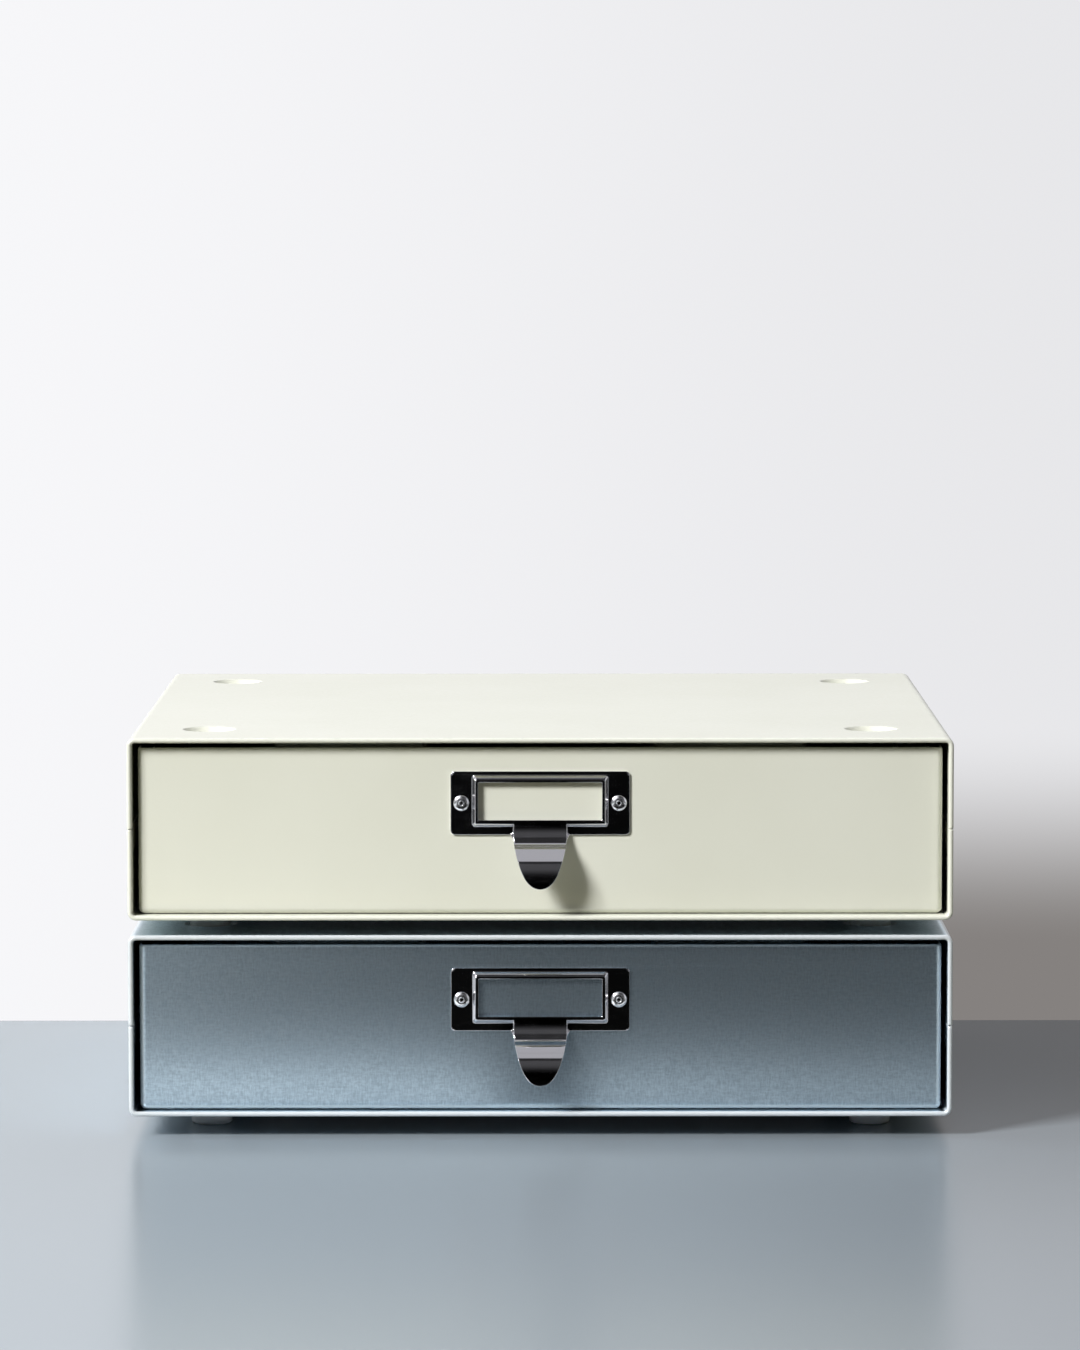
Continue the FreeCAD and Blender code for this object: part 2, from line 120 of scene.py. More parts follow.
# To the camera the floor goes on. To the rest it ends at a front edge, like a table, and past
# that edge lies a lit strip. Shiny faces also see pools of light there, and a dim level past
# the side edges.
TABLE_FRONT = -0.20             # y of the front edge
TABLE_SIDE = 0.40               # x of the side edges
STRIP_FADE = (-0.31, -0.232)    # y over which the strip comes up
STRIP_FAR = 0.003               # its share farther out
STRIP_LEVEL = (1.6, 0.72)       # at the left and at the right
STRIP_ACROSS = (-0.17, 0.17)
STRIP_DIM = 0.05                # its share in front of the pulls
STRIP_GAP = (0.012, 0.026)      # x to either side over which that ends
POOL_LEFT = (-0.14, -0.40)      # x over which the pools come up
POOL_RIGHT = (0.34, 0.60)
POOL_END = (0.60, 0.80)         # x to either side over which they go down
POOL_FAR = 0.1
SIDE_LEVEL = 0.10               # past the table's sides
BOUNCE_TINT = (1.0, 0.96, 0.70, 1)      # colour of all this for dull faces
SHINE_TINT = (0.93, 0.97, 1.0, 1)       # and for shiny ones

# ---- finishes ---------------------------------------------------------------------
PAINT = {"lower": "steel_blue_finish", "upper": "cream_paint"}
BEVEL_SAMPLES = 8
RIM_DEPTH = 0.9 * MM            # of the painted highlight along the front rim of a case
FOLD_BEND = (0.995, 0.90)       # greatest of a normal's x, y and z, on flats and at folds
NOISE_WIDE = (0.3, 0.7)         # parts of a noise's values that a property follows
NOISE_MIDDLE = (0.35, 0.65)
NOISE_NARROW = (0.38, 0.62)
NOISE_HIGH = (0.4, 0.7)

# ---- rounded edges ------------------------------------------------------------------
SHARP_FROM = 28                 # degrees between two faces that get a round
FLAT_TO = 0.4                   # degrees between facets that become one face
WELD = 1e-6                     # metres between vertices that become one
EDGE_SEGMENTS = 3
# The folded pieces: the body that each rides on, and how wide its rounds are.
FOLDED = {"case_upper_shell": ("case", 0.38), "case_lower_shell": ("case", 0.38),
          "case_back_panel": ("case", 0.2), "stiffener_left": ("case", 0.15),
          "stiffener_right": ("case", 0.15), "drawer_front": ("drawer", 0.25),
          "drawer_pan": ("drawer", 0.18), "drawer_back": ("drawer", 0.18)}

# ---- sizes of the pull, in mm ---------------------------------------------------
SHEET = 0.8
SHEET_EDGE = 0.22               # bevel along the cut edge
SHEET_EDGE_FROM = 50            # degrees
PLATE = (73.8, 26.2, 1.7)       # width, height and corner radius
FRAME = (56.0, 21.5, 1.2)       # where the raised frame meets the plate
CROWN = (53.4, 18.1, 0.7)       # where the flat crown of the frame ends
WINDOW = (51.0, 15.7, 0.5)
FRAME_LIFT = 0.9                # frame and window above the middle of the plate
CROWN_LIFT = 0.7
FRAME_RISE = 2.4                # crown of the frame above the drawer front
# Leans are degrees from flat, at shares of the slope and at drops of the tongue.
SLOPE_LEANS = ((0.0, 0), (0.12, 40), (0.32, 49), (0.92, 54), (1.0, 20))
SLOPE_STEPS = 12
CORNER_STEPS = 6
TONGUE_HALF = 11.0              # half its width where it leaves the frame
CHEEK_SPREAD = 0.05             # at the foot of the frame's slope
FLARE = (0.9, 1.2)              # in this last strip of the plate the cheeks spread by this
ROOT_ROWS = 14                  # rows of the tongue that its cheeks reach
ROOT_DROP = 15.0                # below the middle of the plate: the tongue is free from here
TONGUE_ROWS = 26
LIP_ROWS = 12
KNEE_DROP = 24.4
TIP_DROP = 34.32
TONGUE_LEANS = ((8.15, 0), (12.2, 8), (13.4, 14), (15.9, 35), (16.3, 44), (16.6, 50),
                (17.5, 53), (18.5, 50), (19.0, 45), (22.9, 45), (23.9, 14), (25.6, 9),
                (28.5, 4), (34.32, 0))
TIP_CURVE = ((11.0, 0.0), (9.78, 0.546), (6.8, 1.0), (0.0, 1.0))   # half width, share of length
ROOT_ROUND = 0.12               # rounding between the tongue and its cheeks
ROUND_COLUMNS = (0, 0.12, 0.4, 1)       # columns across it, as shares in from the cheek
FLAT_COLUMNS = (0.75, 0.5, 0.25)        # and in the rest of each half, as shares of it
ROUND_ROWS = (3, 4)             # rows over which it begins and ends
PROFILE_STEPS = 2000            # for adding up the leans
TIP_TOLERANCE = 1e-5


# ---- camera, lights and stage ---------------------------------------------------
def link(obj):
    bpy.context.scene.collection.objects.link(obj)
    return obj


def make_camera():
    data = bpy.data.cameras.new("camera")
    data.lens = LENS
    data.sensor_width = FILM
    data.clip_start, data.clip_end = CAMERA_CLIP
    camera = link(bpy.data.objects.new("camera", data))
    turn = (Matrix.Rotation(CAMERA_YAW, 4, "Z")
            @ Matrix.Rotation(math.pi / 2 - CAMERA_DOWN, 4, "X")
            @ Matrix.Rotation(CAMERA_ROLL, 4, "Z"))
    camera.matrix_world = Matrix.Translation(CAMERA_PLACE) @ turn
    bpy.context.scene.camera = camera


def make_key_lamp():
    """A square lamp that lights a white drawer front to KEY_LEVEL."""
    way = KEY_WAY.normalized()
    level = KEY_LEVEL / way.dot(Vector((0, -1, 0)))
    data = bpy.data.lights.new("key", "AREA")
    data.shape = "SQUARE"
    data.size = KEY_SIZE
    data.energy = level * (math.pi * KEY_DISTANCE) ** 2
    lamp = link(bpy.data.objects.new("key", data))
    lamp.location = KEY_AIM + way * KEY_DISTANCE
    lamp.rotation_mode = "QUATERNION"
    lamp.rotation_quaternion = way.to_track_quat("Z", "Y")


class Nodes:
    """Short way to write a node tree: inputs are sockets or constants, by name or index."""

    def __init__(self, tree):
        self.tree = tree
        tree.nodes.clear()

    def add(self, kind, inputs=(), **settings):
        node = self.tree.nodes.new(kind)
        for key, value in settings.items():
            setattr(node, key, value)
        for key, value in dict(inputs).items():
            if isinstance(value, bpy.types.NodeSocket):
                self.tree.links.new(value, node.inputs[key])
            else:
                node.inputs[key].default_value = value
        return node

    def math(self, operation, a, b=0.0):
        return self.add("ShaderNodeMath", {0: a, 1: b}, operation=operation).outputs[0]

    def times(self, a, b):
        return self.math("MULTIPLY", a, b)

    def larger(self, a, b):
        return self.math("MAXIMUM", a, b)

    def size(self, a):
        return self.math("ABSOLUTE", a)

    def ramp(self, value, turn, levels=(0.0, 1.0)):
        """From the first level to the second, smoothly, as value runs from turn[0] to turn[1]."""
        inputs = dict(enumerate((value, *turn, *levels)))
        return self.add("ShaderNodeMapRange", inputs, interpolation_type="SMOOTHSTEP").outputs[0]

    def span(self, value, turn, levels=(0.0, 1.0)):
        """The same, but straight and clamped."""
        return self.add("ShaderNodeMapRange", dict(enumerate((value, *turn, *levels)))).outputs[0]

    def lerp(self, factor, a, b):
        """Mixes two numbers."""
        return self.add("ShaderNodeMix", {0: factor, 2: a, 3: b}, data_type="FLOAT").outputs[0]

    def blend(self, factor, a, b):
        """Mixes two colours."""
        return self.add("ShaderNodeMix", {0: factor, 6: a, 7: b}, data_type="RGBA").outputs[2]

    def axes(self, vector):
        return self.add("ShaderNodeSeparateXYZ", {0: vector}).outputs

    def object_place(self):
        return self.add("ShaderNodeTexCoord").outputs["Object"]

    def noise(self, place, scale, detail=2.0, roughness=0.5, stretch=(1, 1, 1)):
        """Noise with features of about 1 / scale metres, longer along an axis of small stretch."""
        scales = tuple(scale * s for s in stretch)
        lined = self.add("ShaderNodeMapping", {"Vector": place, "Scale": scales}).outputs[0]
        return self.add("ShaderNodeTexNoise", {"Vector": lined, "Scale": 1.0, "Detail": detail,
                                               "Roughness": roughness}).outputs[0]

    def rounded_normal(self, radius):
        """Normals as if the edges had this radius, in mm."""
        return self.add("ShaderNodeBevel", {0: radius * MM}, samples=BEVEL_SAMPLES).outputs[0]

    def bump(self, height, strength, depth, normal=None):
        """Normals tilted by a height, depth mm deep."""
        inputs = {"Strength": strength, "Distance": depth * MM, "Height": height}
        if normal is not None:
            inputs["Normal"] = normal
        return self.add("ShaderNodeBump", inputs).outputs[0]

    def background(self, colour, strength):
        return self.add("ShaderNodeBackground", {0: colour, 1: strength}).outputs[0]

    def emission(self, colour, strength=1.0):
        return self.add("ShaderNodeEmission", {0: colour, 1: strength}).outputs[0]

    def principled(self, inputs):
        return self.add("ShaderNodeBsdfPrincipled", inputs).outputs[0]

    def shaders(self, factor, a, b):
        return self.add("ShaderNodeMixShader", {0: factor, 1: a, 2: b}).outputs[0]

    def surface(self, shader):
        self.add("ShaderNodeOutputMaterial", {0: shader})


def room_seen(n, way):
    """How bright a shiny face finds the room, by the way that its reflection looks."""
    low = n.ramp(way["X"], ROOM_ACROSS, ROOM_LOW)
    high = n.ramp(way["X"], ROOM_ACROSS, ROOM_HIGH)
    front = n.lerp(n.ramp(way["Z"], ROOM_RISE), low, high)
    clear = n.ramp(n.size(way["X"]), FLAG_OUT)
    shelf = n.times(n.ramp(way["Z"], SHELF_RISE), n.ramp(way["Z"], SHELF_FALL, (1.0, SHELF_HIGH)))
    ahead = n.larger(n.times(front, clear), n.times(shelf, SHELF))
    side = n.ramp(way["X"], SIDE_ACROSS, ROOM_SIDE)
    around = n.lerp(n.ramp(n.size(way["X"]), SIDE_OUT), ahead, side)
    over = n.ramp(way["Y"], OVER_DEPTH, (0.0, ROOM_OVER))
    behind = n.ramp(way["Y"], BACK_DEPTH, (0.0, ROOM_BACK))
    return n.larger(n.larger(around, n.larger(over, behind)), ROOM_LEAST)


def even_light(n, way):
    """The background that lights dull faces: weak from the front and near the horizon."""
    height = n.times(n.ramp(way["Z"], AMBIENT_RISE, (AMBIENT_LOW, 1.0)),
                     n.ramp(way["Z"], AMBIENT_FALL, (1.0, AMBIENT_TOP)))
    level = n.times(n.span(way["Y"], AMBIENT_DEPTH, AMBIENT), height)
    right = n.times(n.ramp(way["X"], RIGHT_ACROSS),
                    n.ramp(way["Y"], RIGHT_DEPTH, (0.0, AMBIENT_RIGHT)))
    tint = n.blend(n.ramp(way["Z"], TINT_RISE), AMBIENT_WARM, AMBIENT_WHITE)
    return n.background(tint, n.times(level, n.math("ADD", 1.0, right)))


def make_world():
    """Even light for dull faces, a room for shiny ones and a plain background for the camera."""
    world = bpy.data.worlds.new("world")
    bpy.context.scene.world = world
    world.use_nodes = True
    n = Nodes(world.node_tree)
    rays = n.add("ShaderNodeLightPath").outputs
    way = n.axes(n.add("ShaderNodeTexCoord").outputs["Generated"])
    mirrored = n.background(ROOM_TINT, room_seen(n, way))
    shining = n.larger(rays["Is Glossy Ray"], rays["Is Transmission Ray"])
    light = n.shaders(shining, even_light(n, way), mirrored)
    shown = n.shaders(rays["Is Camera Ray"], light, n.background(BACKGROUND, 1.0))
    n.add("ShaderNodeOutputWorld", {0: shown})


def new_material(name):
    material = bpy.data.materials.new(name)
    material.use_nodes = True
    return material, Nodes(material.node_tree)


def stage_plane(name, corners, material):
    mesh = bpy.data.meshes.new(name)
    mesh.from_pydata(corners, [], [(0, 1, 2, 3)])
    mesh.materials.append(material)
    obj = link(bpy.data.objects.new(name, mesh))
    return obj


def make_floor():
    """A plain floor whose colour darkens to the right as painted shade, and what stands in for the
    room past the table's edges.
    """
    material, n = new_material("floor")
    rays = n.add("ShaderNodeLightPath").outputs
    at = n.axes(n.add("ShaderNodeNewGeometry").outputs["Position"])
    outward = n.size(at["X"])
    ahead = n.math("LESS_THAN", at["Y"], TABLE_FRONT)
    aside = n.math("GREATER_THAN", outward, TABLE_SIDE)
    glossy = rays["Is Glossy Ray"]
    unseen = n.math("SUBTRACT", 1.0, rays["Is Camera Ray"])
    swapped = n.larger(n.times(ahead, unseen), n.times(aside, glossy))
    across = n.times(n.ramp(at["X"], STRIP_ACROSS, STRIP_LEVEL),
                     n.ramp(outward, STRIP_GAP, (STRIP_DIM, 1.0)))
    strip = n.times(n.ramp(at["Y"], STRIP_FADE, (STRIP_FAR, 1.0)), across)
    pools = n.larger(n.ramp(at["X"], POOL_LEFT), n.ramp(at["X"], POOL_RIGHT))
    pools = n.times(n.times(pools, n.ramp(outward, POOL_END, (1.0, POOL_FAR))), glossy)
    level = n.lerp(ahead, SIDE_LEVEL, n.lerp(aside, n.larger(strip, pools), pools))
    stone_and_painted_shade = n.blend(n.ramp(at["X"], FLOOR_ACROSS), FLOOR_LEFT, FLOOR_RIGHT)
    pale = n.principled({"Base Color": stone_and_painted_shade, "Roughness": FLOOR_ROUGHNESS})
    stand_in = n.emission(n.blend(glossy, BOUNCE_TINT, SHINE_TINT), level)
    n.surface(n.shaders(swapped, pale, stand_in))
    reach = STAGE_REACH
    stage_plane("floor", [(-reach, -reach, 0), (reach, -reach, 0), (reach, reach, 0),
                          (-reach, reach, 0)], material)


def make_wall():
    """A pale backdrop for the camera and shiny faces, clear from behind, with a painted falloff and
    a painted shadow in its colour.
    """
    material, n = new_material("wall")
    geometry = n.add("ShaderNodeNewGeometry").outputs
    at = n.axes(geometry["Position"])
    painted_shadow = n.times(n.ramp(at["Z"], WALL_PAINTED_SHADOW_Z), n.ramp(at["X"], WALL_PAINTED_SHADOW_X))
    lit = n.blend(n.ramp(at["X"], WALL_ACROSS), WALL_LEFT, WALL_RIGHT)
    backdrop = n.emission(n.blend(painted_shadow, lit, WALL_PAINTED_SHADOW))
    clear = n.add("ShaderNodeBsdfTransparent").outputs[0]
    n.surface(n.shaders(geometry["Backfacing"], backdrop, clear))
    reach, top = STAGE_REACH, WALL_HEIGHT
    wall = stage_plane("wall", [(-reach, WALL_Y, 0), (reach, WALL_Y, 0), (reach, WALL_Y, top),
                                (-reach, WALL_Y, top)], material)
    wall.visible_diffuse = False
    wall.visible_shadow = False


# ---- materials ------------------------------------------------------------------
def round_and_highlight(n, place, radius, folds):
    """Normals rounded by a radius in mm, and a painted highlight mask: 1 on the case's front rim,
    folds on folds.
    """
    rounded = n.rounded_normal(radius)
    parts = n.axes(rounded)
    x, y, z = (n.size(parts[axis]) for axis in "XYZ")
    flatness = n.larger(x, n.larger(y, z))
    rim = n.ramp(n.axes(place)["Y"], (CASE_FRONT + RIM_DEPTH * 2, CASE_FRONT + RIM_DEPTH))
    return rounded, n.larger(n.span(flatness, FOLD_BEND, (0.0, folds)), rim)


def cream_paint():
    """Powder coat: fine orange peel, faint clouds, and a painted highlight that makes it paler
    along the folds and the front rim.
    """
    deep, pale = (0.688, 0.694, 0.602, 1), (0.718, 0.724, 0.637, 1)
    # edge is the colour of the painted highlight on the folds and the front rim
    edge, highlight_share = (0.78, 0.79, 0.71, 1), 0.4
    fold_radius, fold_highlight = 1.0, 0.2
    roughness, speck_roughness = (0.28, 0.38), (0.0, 0.04)
    material, n = new_material("cream_paint")
    place = n.object_place()
    clouds = n.noise(place, scale=14.0, detail=3.0)
    peel = n.noise(place, scale=750.0, detail=3.0)
    specks = n.noise(place, scale=2600.0, detail=1.0)
    rounded, painted_highlight = round_and_highlight(n, place, fold_radius, fold_highlight)
    colour = n.blend(n.span(clouds, NOISE_WIDE), deep, pale)
    colour = n.blend(n.times(painted_highlight, highlight_share), colour, edge)
    rough = n.math("ADD", n.span(peel, NOISE_WIDE, roughness),
                   n.span(specks, NOISE_WIDE, speck_roughness))
    bump = n.bump(peel, strength=0.10, depth=0.3, normal=rounded)
    n.surface(n.principled({"Base Color": colour, "Roughness": rough, "Normal": bump,
                            "IOR": 1.5}))
    return material


def steel_blue_finish():
    """Metallic blue-grey: an upright grain crossed by a level one, with a pale dull painted
    highlight at the folds and the front rim.
    """
    dark, light = (0.42, 0.53, 0.61, 1), (0.66, 0.79, 0.88, 1)
    cloud, cloud_share = (0.50, 0.62, 0.71, 1), (0.0, 0.25)
    # edge and its low metallic are the painted highlight on the folds and the front rim
    edge, highlight_metal = (0.65, 0.69, 0.72, 1), (1.0, 0.1)
    fold_radius, fold_highlight = 1.6, 0.8
    upright_share, roughness = 0.55, (0.33, 0.28)
    material, n = new_material("steel_blue_finish")
    place = n.object_place()
    upright = n.noise(place, scale=1500.0, detail=4.0, roughness=0.6, stretch=(1, 1, 0.25))
    level = n.noise(place, scale=1200.0, detail=4.0, roughness=0.6, stretch=(0.3, 0.3, 1))
    clouds = n.noise(place, scale=45.0, detail=4.0, roughness=0.6)
    grain = n.math("ADD", n.times(upright, upright_share), n.times(level, 1 - upright_share))
    rounded, painted_highlight = round_and_highlight(n, place, fold_radius, fold_highlight)
    fine = n.blend(n.span(grain, NOISE_NARROW), dark, light)
    colour = n.blend(n.span(clouds, NOISE_MIDDLE, cloud_share), fine, cloud)
    colour = n.blend(painted_highlight, colour, edge)
    bump = n.bump(grain, strength=0.05, depth=0.1, normal=rounded)
    n.surface(n.principled({"Base Color": colour, "Metallic": n.span(painted_highlight, (0.0, 1.0), highlight_metal),
                            "Roughness": n.span(grain, NOISE_MIDDLE, roughness), "Normal": bump}))
    return material


def chrome_pull():
    """Chrome over a smooth stamping with softened edges and faint rubbing marks."""
    edge_radius = 0.4
    roughness, haze_roughness = (0.035, 0.09), (0.0, 0.03)
    material, n = new_material("chrome_pull")
    place = n.object_place()
    rubs = n.noise(place, scale=900.0, detail=3.0, stretch=(0.12, 1, 1))
    haze = n.noise(place, scale=160.0, detail=2.0)
    rough = n.math("ADD", n.span(rubs, NOISE_HIGH, roughness),
                   n.span(haze, NOISE_HIGH, haze_roughness))
    bump = n.bump(rubs, strength=0.03, depth=0.1, normal=n.rounded_normal(edge_radius))
    n.surface(n.principled({"Base Color": (0.70, 0.69, 0.71, 1), "Metallic": 1.0,
                            "Roughness": rough, "Normal": bump}))
    return material


def rivet_aluminium():
    """Bright aluminium with fine marks left from forming."""
    roughness = (0.14, 0.24)
    material, n = new_material("rivet_aluminium")
    marks = n.noise(n.object_place(), scale=1800.0, detail=3.0)
    bump = n.bump(marks, strength=0.06, depth=0.1)
    n.surface(n.principled({"Base Color": (0.90, 0.90, 0.92, 1), "Metallic": 1.0,
                            "Roughness": n.span(marks, NOISE_MIDDLE, roughness), "Normal": bump}))
    return material


def clear_foot():
    """Clear soft plastic, milky with age and scuffed."""
    roughness = (0.05, 0.14)
    material, n = new_material("clear_foot")
    scuffs = n.noise(n.object_place(), scale=1100.0, detail=3.0)
    n.surface(n.principled({"Base Color": (0.97, 0.95, 0.95, 1),
                            "Roughness": n.span(scuffs, NOISE_MIDDLE, roughness),
                            "Transmission Weight": 0.30, "IOR": 1.45}))
    return material


# ---- meshes ---------------------------------------------------------------------
def add_piece(bm, node, unit, body, finish):
    """The mesh as a piece that stands for the node and rides on the unit's body."""
    for face in bm.faces:
        face.smooth = True
    name = f"{node}_finished"
    mesh = bpy.data.meshes.new(name)
    bm.to_mesh(mesh)
    bm.free()
    mesh.materials.append(FINISHES[finish])
    piece = link(bpy.data.objects.new(name, mesh))
    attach(piece, f"{unit}_{body}")
    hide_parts(node)
    return piece


def even_normals(piece):
    """Flat faces stay flat to the eye beside small rounds."""
    modifier = piece.modifiers.new("even_normals", "WEIGHTED_NORMAL")
    modifier.weight = 100


def add_solid(bm, node, unit, body, finish):
    bmesh.ops.recalc_face_normals(bm, faces=bm.faces)
    even_normals(add_piece(bm, node, unit, body, finish))


def soften(unit, name, body, width):
    """A folded piece with its CAD shape and the small round that its edges really have."""
    sharp_from, flat_to = math.radians(SHARP_FROM), math.radians(FLAT_TO)
    node = f"{unit}_{name}"
    bm = bmesh.new()
    bm.from_mesh(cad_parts[node].data)
    bmesh.ops.remove_doubles(bm, verts=bm.verts, dist=WELD)
    bmesh.ops.dissolve_limit(bm, angle_limit=flat_to, verts=bm.verts, edges=bm.edges)
    sharp = [e for e in bm.edges if e.is_manifold and e.calc_face_angle() > sharp_from]
    bmesh.ops.bevel(bm, geom=sharp, offset=width * MM, offset_type="OFFSET",
                    segments=EDGE_SEGMENTS, profile=0.5, affect="EDGES", clamp_overlap=True)
    add_solid(bm, node, unit, body, PAINT[unit])


def add_faces(bm, a, b):
    """Faces between two rows of vertices, a triangle where the rows share one."""
    for k in range(len(a) - 1):
        corners = [a[k], a[k + 1], b[k + 1], b[k]]
        bm.faces.new(list(dict.fromkeys(corners)))


def lathe(bm, profile, centre, axis, steps):
    """A solid of revolution: profile is (radius, height along the axis) in mm, ends on the axis."""
    turn = Vector(axis).to_track_quat("Z", "Y").to_matrix()
    rings = []
    for radius, height in profile:
        ring = []
        for k in range(steps if radius > 0 else 1):
            angle = 2 * math.pi * k / steps
            local = Vector((radius * math.cos(angle), radius * math.sin(angle), height)) * MM
            ring.append(bm.verts.new(centre + turn @ local))
        rings.append([ring[k % len(ring)] for k in range(steps + 1)])
    for a, b in zip(rings, rings[1:]):
        add_faces(bm, a, b)


def arc(centre, radius, start, stop, steps):
    """Points of an arc in a plane, from one angle to another in degrees."""
    angles = [math.radians(start + (stop - start) * k / steps) for k in range(steps + 1)]
    return [(centre[0] + radius * math.cos(a), centre[1] + radius * math.sin(a)) for a in angles]


def make_rivets(unit):
    """Two blind rivets: a domed head, a hole with the broken mandrel in it, and the set tail."""
    node = f"{unit}_pull_rivets"
    low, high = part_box(node)
    head, rim, dome = 3.25, 0.25, 1.05      # radius, height of its edge, rise of its dome
    bevel_width, bevel_height = 0.05, 0.06  # under the head's edge
    hole, depth = 0.8, 2.4
    lip_share, dome_edge = 0.93, 0.8        # lip's share of the dome's rise, hole to the dome
    ring = ((0.62, 0.16), (0.42, 0.17), (0.22, 0.0), (0.12, 0.0), (0.03, 0.08), (0.0, 0.25))
    mandrel, stump, stump_peak = 0.45, 0.6, 0.7
    shank, grip = 1.6, 1.8
    tail, tail_length, end_round, grip_round = 2.3, 2.6, 0.7, 0.5
    dome_steps, round_steps, turn_steps = 10, 3, 40

    end = -grip - tail_length
    lip = rim + dome * lip_share
    bottom = lip - depth
    crown = [(head * math.cos(a), rim + dome * math.sin(a))
             for a in (math.radians(90 * k / dome_steps) for k in range(dome_steps + 1))]
    profile = ([(0, end)]
               + arc((tail - end_round, end + end_round), end_round, -90, 0, round_steps)
               + arc((tail - grip_round, -grip - grip_round), grip_round, 0, 90, round_steps)
               + [(shank, -grip), (shank, 0), (head - bevel_width, 0), (head, bevel_height)]
               + [p for p in crown if p[0] > hole + dome_edge]
               + [(hole + out, lip - drop) for out, drop in ring]
               + [(hole, bottom), (mandrel, bottom), (mandrel, bottom + stump),
                  (0, bottom + stump_peak)])
    face = high.y - (grip + tail_length) * MM
    bm = bmesh.new()
    for x in (low.x + head * MM, high.x - head * MM):
        lathe(bm, profile, Vector((x, face, (low.z + high.z) / 2)), (0, -1, 0), turn_steps)
    add_solid(bm, node, unit, "drawer", "rivet_aluminium")


def make_foot(unit, place):
    """A moulded puck, rounded below, with a slight draft."""
    node = f"{unit}_foot_{place}"
    low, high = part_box(node)
    radius, height = (high.x - low.x) / 2 / MM, (high.z - low.z) / MM
    draft, low_round, top_round = 0.25, 1.1, 0.35
    low_steps, top_steps, turn_steps = 6, 3, 48
    profile = ([(0, 0)]
               + arc((radius - draft - low_round, low_round), low_round, -90, 0, low_steps)
               + arc((radius - top_round, height - top_round), top_round, 0, 90, top_steps)
               + [(0, height)])
    centre = Vector(((low.x + high.x) / 2, (low.y + high.y) / 2, low.z))
    bm = bmesh.new()
    lathe(bm, profile, centre, (0, 0, 1), turn_steps)
    add_solid(bm, node, unit, "case", "clear_foot")


# ---- the label pull ---------------------------------------------------------------
def height_profile(leans, stations, low, high):
    """Heights at the stations of a surface with the given leans, run from low to high.

    leans is a list of (station, angle from flat in degrees), with straight changes between.
    """
    fine = (stations[-1] - stations[0]) / PROFILE_STEPS

    def slope(at):
        for (s0, a0), (s1, a1) in zip(leans, leans[1:]):
            if at <= s1:
                return math.tan(math.radians(a0 + (a1 - a0) * (at - s0) / (s1 - s0)))
        return 0.0

    sums, total, at = [], 0.0, stations[0]
    for station in stations:
        while at < station - fine / 2:
            total += slope(at + fine / 2) * fine
            at += fine
        sums.append(total)
    return [low + (high - low) * part / total for part in sums]


def bezier(points, t):
    """A point of a cubic curve."""
    weights = ((1 - t) ** 3, 3 * t * (1 - t) ** 2, 3 * t * t * (1 - t), t ** 3)
    return tuple(sum(w * p[k] for w, p in zip(weights, points)) for k in (0, 1))


def half_width(share):
    """Half the tongue's width at a share of the length that it is free."""
    if share <= 0:
        return TONGUE_HALF
    low, high = 0.0, 1.0
    while high - low > TIP_TOLERANCE:
        mid = (low + high) / 2
        low, high = (mid, high) if bezier(TIP_CURVE, mid)[1] < share else (low, mid)
    return bezier(TIP_CURVE, low)[0]


def free_shares(drops, outs):
    """For each row of the tongue, its share of the length between ROOT_DROP and the tip."""
    lengths = [0.0]
    for k in range(1, len(drops)):
        lengths.append(lengths[-1] + math.hypot(drops[k] - drops[k - 1], outs[k] - outs[k - 1]))
    return [(l - lengths[ROOT_ROWS]) / (lengths[-1] - lengths[ROOT_ROWS]) for l in lengths]


def open_ring(size, lift, cut):
    """A rounded rectangle from x = cut on its lower side, round the right, to x = -cut."""
    width, height, corner = size
    x, z = width / 2 - corner, height / 2 - corner
    points = [(cut, lift - height / 2)]
    for cx, cz, start in ((x, -z, -90), (x, z, 0), (-x, z, 90), (-x, -z, 180)):
        points += arc((cx, lift + cz), corner, start, start + 90, CORNER_STEPS)
    return points + [(-cut, lift - height / 2)]


def between(a, b, share):
    """The point of the way from a to b, number by number."""
    return tuple(p + (q - p) * share for p, q in zip(a, b))


def tongue_columns():
    """The tongue's columns from right to left, as shares of its half width."""
    near = ROOT_ROUND / TONGUE_HALF
    sides = [1 - near * c for c in ROUND_COLUMNS] + list(FLAT_COLUMNS)
    return sides + [0] + [-s for s in reversed(sides)]


def make_crown(bm, vert, columns):
    """The flat crown round the window: gives its open outer ring and the tongue's first row."""
    rings = []
    for size, lift in ((WINDOW, FRAME_LIFT), (CROWN, CROWN_LIFT)):
        points = open_ring(size, lift, TONGUE_HALF)
        low_z = points[0][1]
        points += [(TONGUE_HALF * c, low_z) for c in reversed(columns[1:-1])]
        rings.append([vert(x, FRAME_RISE, z) for x, z in points])
    window, outer = rings
    add_faces(bm, [*window, window[0]], [*outer, outer[0]])
    open_count = len(outer) - len(columns[1:-1])
    ring = outer[:open_count]
    return ring, [ring[0], *reversed(outer[open_count:]), ring[-1]]


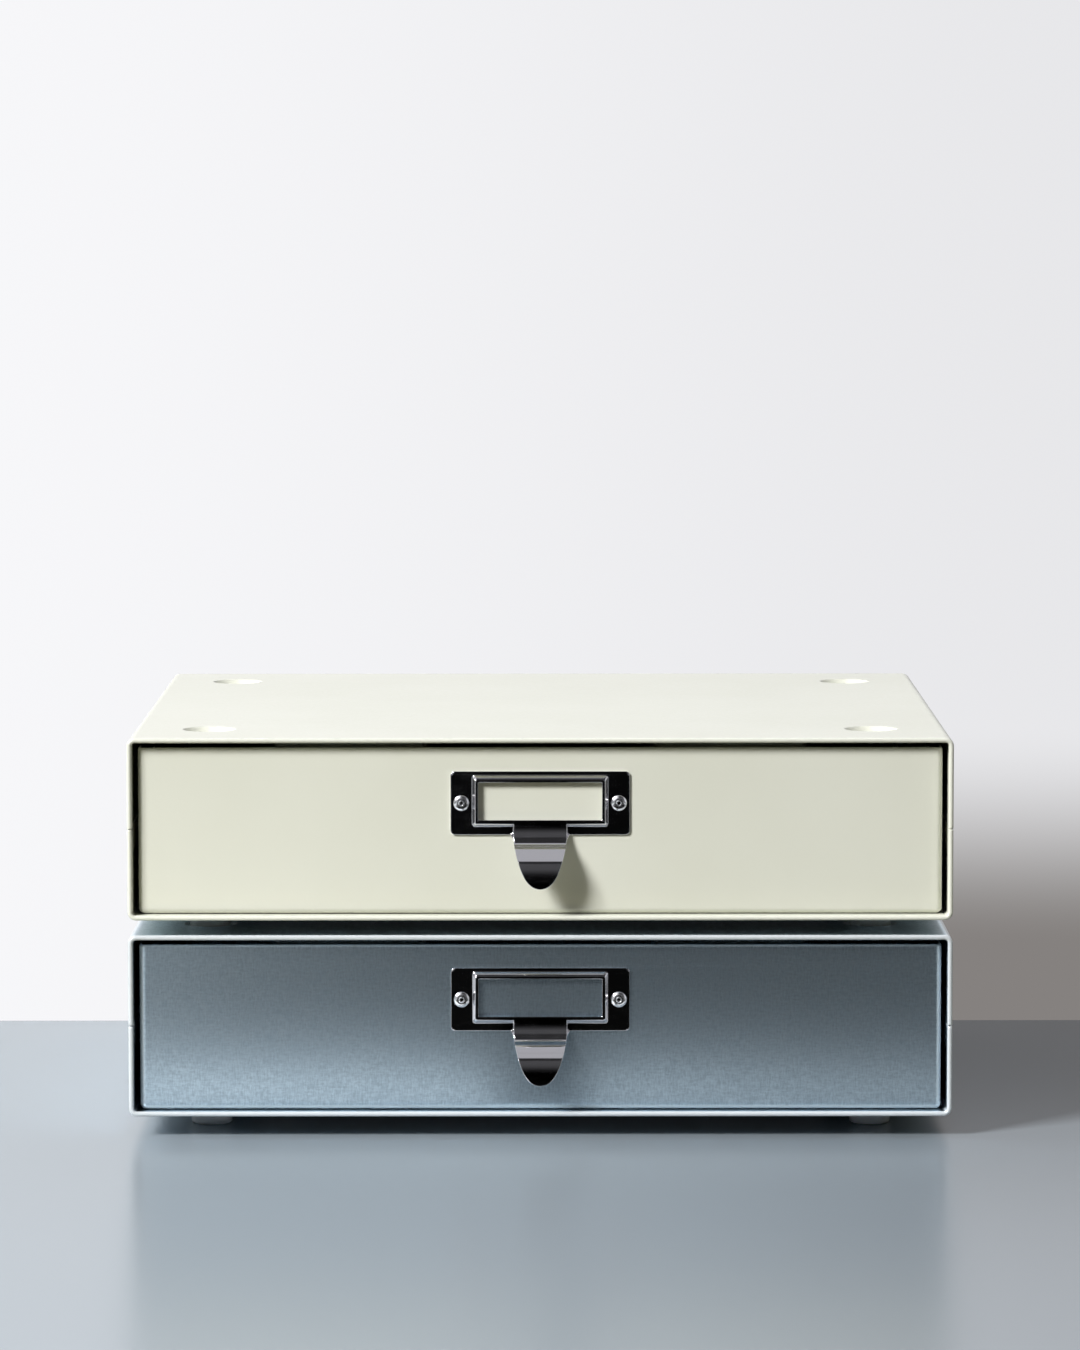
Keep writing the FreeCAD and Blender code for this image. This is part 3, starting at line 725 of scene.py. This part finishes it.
def make_plate(bm, vert, ring):
    """Slope of the frame and plate round the open ring: gives the ends of each ring."""
    stations = [k / SLOPE_STEPS for k in range(SLOPE_STEPS + 1)]
    heights = height_profile(SLOPE_LEANS, stations, FRAME_RISE, SHEET)
    edges = [(between(CROWN, FRAME, t), CROWN_LIFT + (FRAME_LIFT - CROWN_LIFT) * t, h,
              TONGUE_HALF + CHEEK_SPREAD * t) for t, h in zip(stations[1:], heights[1:])]
    inset = (PLATE[0] - 2 * FLARE[0], PLATE[1] - 2 * FLARE[0], PLATE[2] - FLARE[0])
    edges.append((inset, 0, SHEET, TONGUE_HALF + CHEEK_SPREAD))
    edges.append((PLATE, 0, SHEET, TONGUE_HALF + FLARE[1]))
    ends = [(ring[0], ring[-1])]
    for size, lift, out, cut in edges:
        following = [vert(x, out, z) for x, z in open_ring(size, lift, cut)]
        add_faces(bm, ring, following)
        ends.append((following[0], following[-1]))
        ring = following
    return ends


def tongue_drops():
    """How far below the plate's middle the tongue's rows lie: closer at the root and the tip."""
    start = CROWN[1] / 2 - CROWN_LIFT
    drops = [start + (ROOT_DROP - start) * k / ROOT_ROWS for k in range(ROOT_ROWS + 1)]
    drops += [ROOT_DROP + (KNEE_DROP - ROOT_DROP) * k / TONGUE_ROWS
              for k in range(1, TONGUE_ROWS + 1)]
    drops += [KNEE_DROP + (TIP_DROP - KNEE_DROP) * math.sin(math.pi / 2 * k / LIP_ROWS)
              for k in range(1, LIP_ROWS + 1)]
    return drops


def make_tongue(bm, vert, columns, first_row, reach):
    """The tongue from the crown over the knee to the tip: gives its rows, without the tip."""
    drops = tongue_drops()
    outs = height_profile(TONGUE_LEANS, drops, FRAME_RISE, reach)
    shares = free_shares(drops, outs)
    begin, end = ROUND_ROWS
    rows = [first_row]
    for k in range(1, len(drops) - 1):
        half = half_width(shares[k])
        fade = max(0.0, min(1.0, k / begin, (ROOT_ROWS + end - k) / end))
        row = []
        for c in columns:
            x = half * c
            inside = max(0.0, (abs(x) - (half - ROOT_ROUND)) / ROOT_ROUND)
            sink = ROOT_ROUND * fade * (1 - math.sqrt(max(0.0, 1 - inside * inside)))
            row.append(vert(x, outs[k] - sink, -drops[k]))
        rows.append(row)
    tip = vert(0, reach, -TIP_DROP)
    for a, b in zip(rows, rows[1:] + [[tip] * len(columns)]):
        add_faces(bm, a, b)
    return rows


def make_pull(unit):
    """One stamping: plate, frame raised round the window, and the tongue drawn out below it."""
    node = f"{unit}_label_pull"
    low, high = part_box(node)
    centre_z = high.z - PLATE[1] / 2 * MM
    bm = bmesh.new()

    def vert(x, out, z):
        return bm.verts.new((x * MM, high.y - out * MM, centre_z + z * MM))

    columns = tongue_columns()
    ring, first_row = make_crown(bm, vert, columns)
    cheeks = make_plate(bm, vert, ring)
    rows = make_tongue(bm, vert, columns, first_row, (high.y - low.y) / MM)
    for k in range(len(cheeks) - 1):    # the tongue's cheeks, up to the plate's edge
        for side in (0, -1):
            corners = [cheeks[k][side], cheeks[k + 1][side], rows[k + 1][side], rows[k][side]]
            bm.faces.new(list(dict.fromkeys(corners)))

    bmesh.ops.recalc_face_normals(bm, faces=bm.faces)
    lip_face = min(bm.faces, key=lambda f: f.calc_center_median().y)
    if lip_face.normal.y > 0:
        bmesh.ops.reverse_faces(bm, faces=bm.faces)
    piece = add_piece(bm, node, unit, "drawer", "chrome_pull")
    thick = piece.modifiers.new("sheet", "SOLIDIFY")
    thick.thickness, thick.offset, thick.use_even_offset = SHEET * MM, -1.0, True
    edge = piece.modifiers.new("edges", "BEVEL")
    edge.width, edge.segments = SHEET_EDGE * MM, EDGE_SEGMENTS
    edge.angle_limit = math.radians(SHEET_EDGE_FROM)
    even_normals(piece)


# ---- putting it together ------------------------------------------------------------
bpy.context.scene.view_settings.view_transform = "Standard"
make_camera()
make_key_lamp()
make_world()
make_floor()
make_wall()

FINISHES = {make.__name__: make() for make in
            (cream_paint, steel_blue_finish, chrome_pull, rivet_aluminium, clear_foot)}
for unit in PAINT:
    for name, (body, width) in FOLDED.items():
        soften(unit, name, body, width)
    make_pull(unit)
    make_rivets(unit)
    for end in ("front", "back"):
        for hand in ("left", "right"):
            make_foot(unit, f"{end}_{hand}")

for name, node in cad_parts.items():
    node.data.materials.clear()
    node.data.materials.append(FINISHES[PAINT[name.split("_")[0]]])
